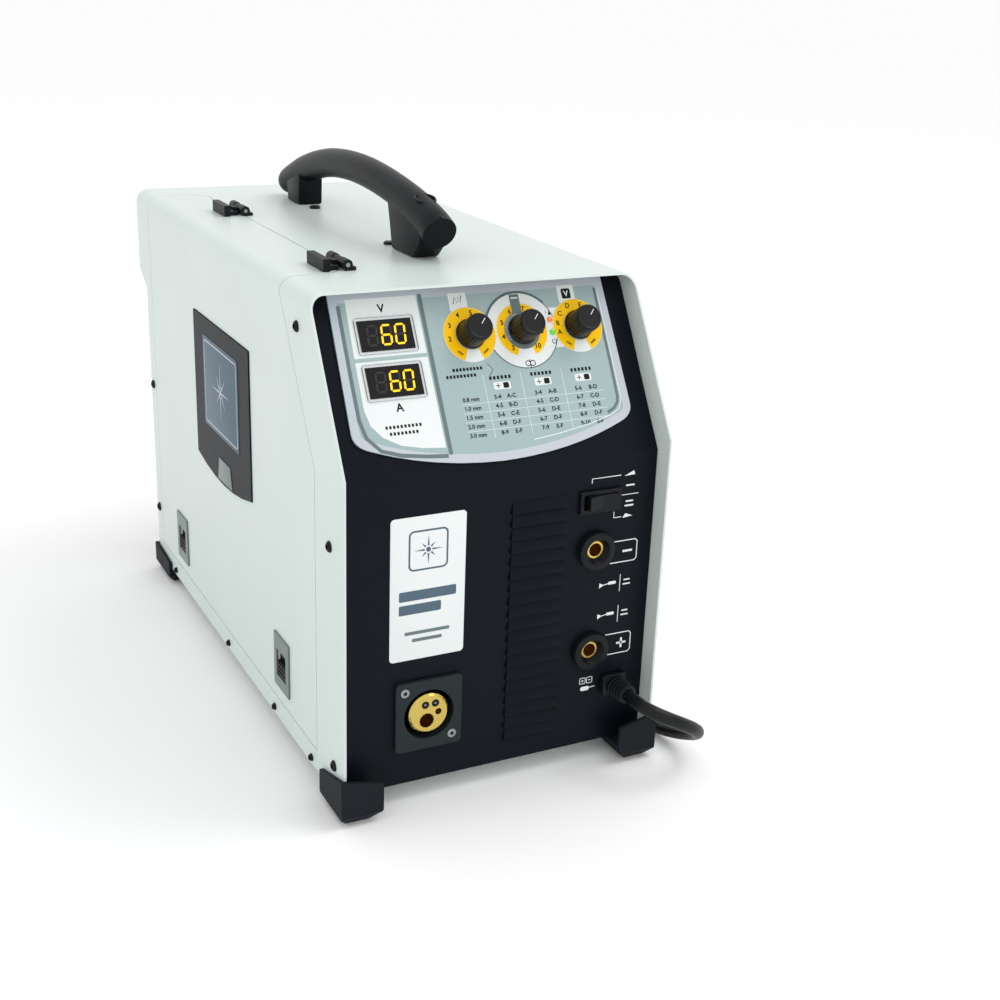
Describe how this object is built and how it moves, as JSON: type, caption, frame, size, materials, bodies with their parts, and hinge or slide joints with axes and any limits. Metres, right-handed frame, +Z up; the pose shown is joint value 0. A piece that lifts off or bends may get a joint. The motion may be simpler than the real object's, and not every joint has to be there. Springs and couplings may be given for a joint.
{
  "type": "mig welding machine",
  "caption": "Compact single-phase MIG welding inverter in a sheet-metal case with hinged side door, slanted control panel, wire feeder, carry handle and corner feet.",
  "frame": {"origin": "on the floor, under the centre of the machine's bounding box without its free lead", "axes": "+Z up, +X to the machine's right seen from the front, -Y towards the operator at the control panel, so the case is longest along Y"},
  "size_m": [0.2525, 0.5072, 0.3727],
  "materials": {
    "shell_enamel": "light grey powder coat, fine orange peel",
    "moulded_black": "fine-textured moulded ABS",
    "panel_foil": "satin printed polycarbonate foil",
    "black_nylon": "glass-filled nylon",
    "slate_rubber": "moulded rubber",
    "display_lens": "gloss smoked lens",
    "brass": "machined",
    "zinc_steel": "zinc plated",
    "aluminium": "extruded",
    "lamp_orange_lens": "clear coloured lens",
    "lamp_green_lens": "clear coloured lens",
    "circuit_board": "solder resist",
    "copper_winding": "varnished copper",
    "cable_rubber": "extruded rubber sheath",
    "wire_reel": "plastic reel with copper-coated wire"
  },
  "bodies": {
    "case": {"base_tray": "shell_enamel", "outer_shell": "shell_enamel", "rear_panel": "moulded_black", "front_panel": "moulded_black", "control_plate": "panel_foil", "divider_plate": "zinc_steel", "foot_front_left": "slate_rubber", "foot_front_right": "slate_rubber", "foot_rear_left": "slate_rubber", "foot_rear_right": "slate_rubber", "carry_handle": "black_nylon", "hinge_base_front": "black_nylon", "hinge_base_rear": "black_nylon", "hinge_pin_front": "zinc_steel", "hinge_pin_rear": "zinc_steel", "display_volts": "display_lens", "display_amps": "display_lens", "lamp_orange": "lamp_orange_lens", "lamp_green": "lamp_green_lens", "mode_switch_frame": "black_nylon", "socket_minus": "black_nylon", "socket_plus": "black_nylon", "socket_insert_minus": "brass", "socket_insert_plus": "brass", "torch_flange": "slate_rubber", "torch_connector": "brass", "lead_grommet": "black_nylon", "polarity_lead": "cable_rubber", "polarity_plug": "black_nylon", "feed_plate": "black_nylon", "feed_motor": "zinc_steel", "inlet_guide": "brass", "spool_hub": "black_nylon", "spool_nut": "black_nylon", "heat_sink": "aluminium", "inverter_board": "circuit_board", "transformer": "copper_winding", "fan_frame": "black_nylon", "mains_switch_frame": "black_nylon", "mains_gland": "black_nylon", "gas_inlet": "brass"},
    "door": {"side_door": "shell_enamel", "door_badge": "moulded_black", "hinge_leaf_front": "black_nylon", "hinge_leaf_rear": "black_nylon", "latch_plate_front": "zinc_steel", "latch_plate_rear": "zinc_steel"},
    "front_latch": {"latch_slider_front": "black_nylon"},
    "rear_latch": {"latch_slider_rear": "black_nylon"},
    "left_knob": {"knob_left": "black_nylon"},
    "centre_knob": {"knob_centre": "black_nylon"},
    "right_knob": {"knob_right": "black_nylon"},
    "mode_key": {"mode_rocker": "black_nylon"},
    "mains_key": {"mains_rocker": "black_nylon"},
    "fan": {"fan_rotor": "black_nylon"},
    "spool": {"wire_spool": "wire_reel"},
    "drive": {"drive_roll": "zinc_steel"},
    "arm": {"pressure_arm": "zinc_steel"},
    "idler": {"idler_roll": "zinc_steel"},
    "tension": {"tension_screw": "black_nylon"}
  },
  "joints": [
    {"name": "door_hinge", "type": "hinge", "parent": "case", "child": "door", "pos_m": [-0.064, -0.1015, 0.3248], "axis": [0, 1, 0], "range_deg": [0, 105]},
    {"name": "latch_front_slide", "type": "slide", "parent": "door", "child": "front_latch", "axis": [0, 0, 1], "range_m": [0, 0.008], "stiffness_N_per_m": 120, "springref_m": -0.002},
    {"name": "latch_rear_slide", "type": "slide", "parent": "door", "child": "rear_latch", "axis": [0, 0, 1], "range_m": [0, 0.008], "stiffness_N_per_m": 120, "springref_m": -0.002},
    {"name": "knob_left_turn", "type": "hinge", "parent": "case", "child": "left_knob", "pos_m": [-0.0065, -0.17821, 0.29276], "axis": [0, 0.8559, -0.5171], "range_deg": [-190, 110]},
    {"name": "knob_centre_turn", "type": "hinge", "parent": "case", "child": "centre_knob", "pos_m": [0.0295, -0.17821, 0.29276], "axis": [0, 0.8559, -0.5171], "range_deg": [-190, 110]},
    {"name": "knob_right_turn", "type": "hinge", "parent": "case", "child": "right_knob", "pos_m": [0.069, -0.17821, 0.29276], "axis": [0, 0.8559, -0.5171], "range_deg": [-190, 110]},
    {"name": "mode_rocker_tip", "type": "hinge", "parent": "case", "child": "mode_key", "pos_m": [0.06725, -0.2115, 0.1865], "axis": [0, 0, -1], "range_deg": [0, 14]},
    {"name": "mains_rocker_tip", "type": "hinge", "parent": "case", "child": "mains_key", "pos_m": [0.075, 0.2065, 0.276], "axis": [-1, 0, 0], "range_deg": [0, 16]},
    {"name": "fan_spin", "type": "hinge", "parent": "case", "child": "fan", "pos_m": [0.045, 0.1965, 0.173], "axis": [0, 1, 0], "continuous": true},
    {"name": "spool_spin", "type": "hinge", "parent": "case", "child": "spool", "pos_m": [-0.0565, 0.0895, 0.163], "axis": [1, 0, 0], "continuous": true},
    {"name": "drive_roll_spin", "type": "hinge", "parent": "case", "child": "drive", "pos_m": [-0.0516, -0.1335, 0.0415], "axis": [1, 0, 0], "continuous": true},
    {"name": "pressure_arm_lift", "type": "hinge", "parent": "case", "child": "arm", "pos_m": [-0.05, -0.1025, 0.079], "axis": [-1, 0, 0], "range_deg": [0, 60]},
    {"name": "idler_roll_spin", "type": "hinge", "parent": "arm", "child": "idler", "pos_m": [-0.0516, -0.1335, 0.0725], "axis": [1, 0, 0], "continuous": true},
    {"name": "tension_screw_swing", "type": "hinge", "parent": "arm", "child": "tension", "pos_m": [-0.062, -0.1585, 0.093], "axis": [-1, 0, 0], "range_deg": [0, 21]}
  ],
  "couplings": [
    {"joint": "drive_roll_spin", "follows": "spool_spin", "ratio": -5.6667},
    {"joint": "idler_roll_spin", "follows": "spool_spin", "ratio": 5.6667}
  ]
}
